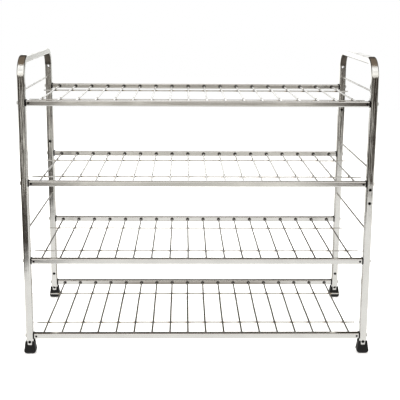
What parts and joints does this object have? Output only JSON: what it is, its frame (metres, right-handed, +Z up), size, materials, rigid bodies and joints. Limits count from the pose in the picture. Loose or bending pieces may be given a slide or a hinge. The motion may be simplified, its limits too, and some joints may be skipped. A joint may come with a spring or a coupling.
{
  "type": "tiered shoe rack",
  "caption": "Free-standing tiered shoe rack: bent square-tube steel end frames joined by rails that carry welded wire shelves, with side rods and plastic foot caps.",
  "frame": {"origin": "on the floor, under the middle of the rack", "axes": "+X along the rails to the right, +Y from the front to the back, +Z up"},
  "size_m": [0.7724, 0.3904, 0.66],
  "materials": {
    "polished_stainless_tube": "mirror-polished stainless steel tube",
    "polished_stainless_rail": "buffed stainless steel tube with fine lengthwise lines",
    "drawn_stainless_wire": "bright drawn stainless steel wire",
    "zinc_plated_bolt": "zinc-plated steel, slightly dull",
    "black_moulded_plastic": "moulded black polypropylene, satin"
  },
  "bodies": {
    "root": {"end_frame_left": "polished_stainless_tube", "side_rod_left_low": "drawn_stainless_wire", "side_rod_left_high": "drawn_stainless_wire", "foot_cap_front_left": "black_moulded_plastic", "foot_cap_back_left": "black_moulded_plastic", "end_frame_right": "polished_stainless_tube", "side_rod_right_low": "drawn_stainless_wire", "side_rod_right_middle": "drawn_stainless_wire", "side_rod_right_high": "drawn_stainless_wire", "foot_cap_front_right": "black_moulded_plastic", "foot_cap_back_right": "black_moulded_plastic", "tier_1_wire_grid": "drawn_stainless_wire", "tier_1_rail_front": "polished_stainless_rail", "tier_1_end_plug_front_left": "black_moulded_plastic", "tier_1_bolt_front_left": "zinc_plated_bolt", "tier_1_end_plug_front_right": "black_moulded_plastic", "tier_1_bolt_front_right": "zinc_plated_bolt", "tier_1_rail_back": "polished_stainless_rail", "tier_1_end_plug_back_left": "black_moulded_plastic", "tier_1_bolt_back_left": "zinc_plated_bolt", "tier_1_end_plug_back_right": "black_moulded_plastic", "tier_1_bolt_back_right": "zinc_plated_bolt", "tier_2_wire_grid": "drawn_stainless_wire", "tier_2_rail_front": "polished_stainless_rail", "tier_2_end_plug_front_left": "black_moulded_plastic", "tier_2_bolt_front_left": "zinc_plated_bolt", "tier_2_end_plug_front_right": "black_moulded_plastic", "tier_2_bolt_front_right": "zinc_plated_bolt", "tier_2_rail_back": "polished_stainless_rail", "tier_2_end_plug_back_left": "black_moulded_plastic", "tier_2_bolt_back_left": "zinc_plated_bolt", "tier_2_end_plug_back_right": "black_moulded_plastic", "tier_2_bolt_back_right": "zinc_plated_bolt", "tier_3_wire_grid": "drawn_stainless_wire", "tier_3_rail_front": "polished_stainless_rail", "tier_3_end_plug_front_left": "black_moulded_plastic", "tier_3_bolt_front_left": "zinc_plated_bolt", "tier_3_end_plug_front_right": "black_moulded_plastic", "tier_3_bolt_front_right": "zinc_plated_bolt", "tier_3_rail_back": "polished_stainless_rail", "tier_3_end_plug_back_left": "black_moulded_plastic", "tier_3_bolt_back_left": "zinc_plated_bolt", "tier_3_end_plug_back_right": "black_moulded_plastic", "tier_3_bolt_back_right": "zinc_plated_bolt", "tier_4_wire_grid": "drawn_stainless_wire", "tier_4_rail_front": "polished_stainless_rail", "tier_4_end_plug_front_left": "black_moulded_plastic", "tier_4_bolt_front_left": "zinc_plated_bolt", "tier_4_end_plug_front_right": "black_moulded_plastic", "tier_4_bolt_front_right": "zinc_plated_bolt", "tier_4_rail_back": "polished_stainless_rail", "tier_4_end_plug_back_left": "black_moulded_plastic", "tier_4_bolt_back_left": "zinc_plated_bolt", "tier_4_end_plug_back_right": "black_moulded_plastic", "tier_4_bolt_back_right": "zinc_plated_bolt"}
  },
  "joints": []
}
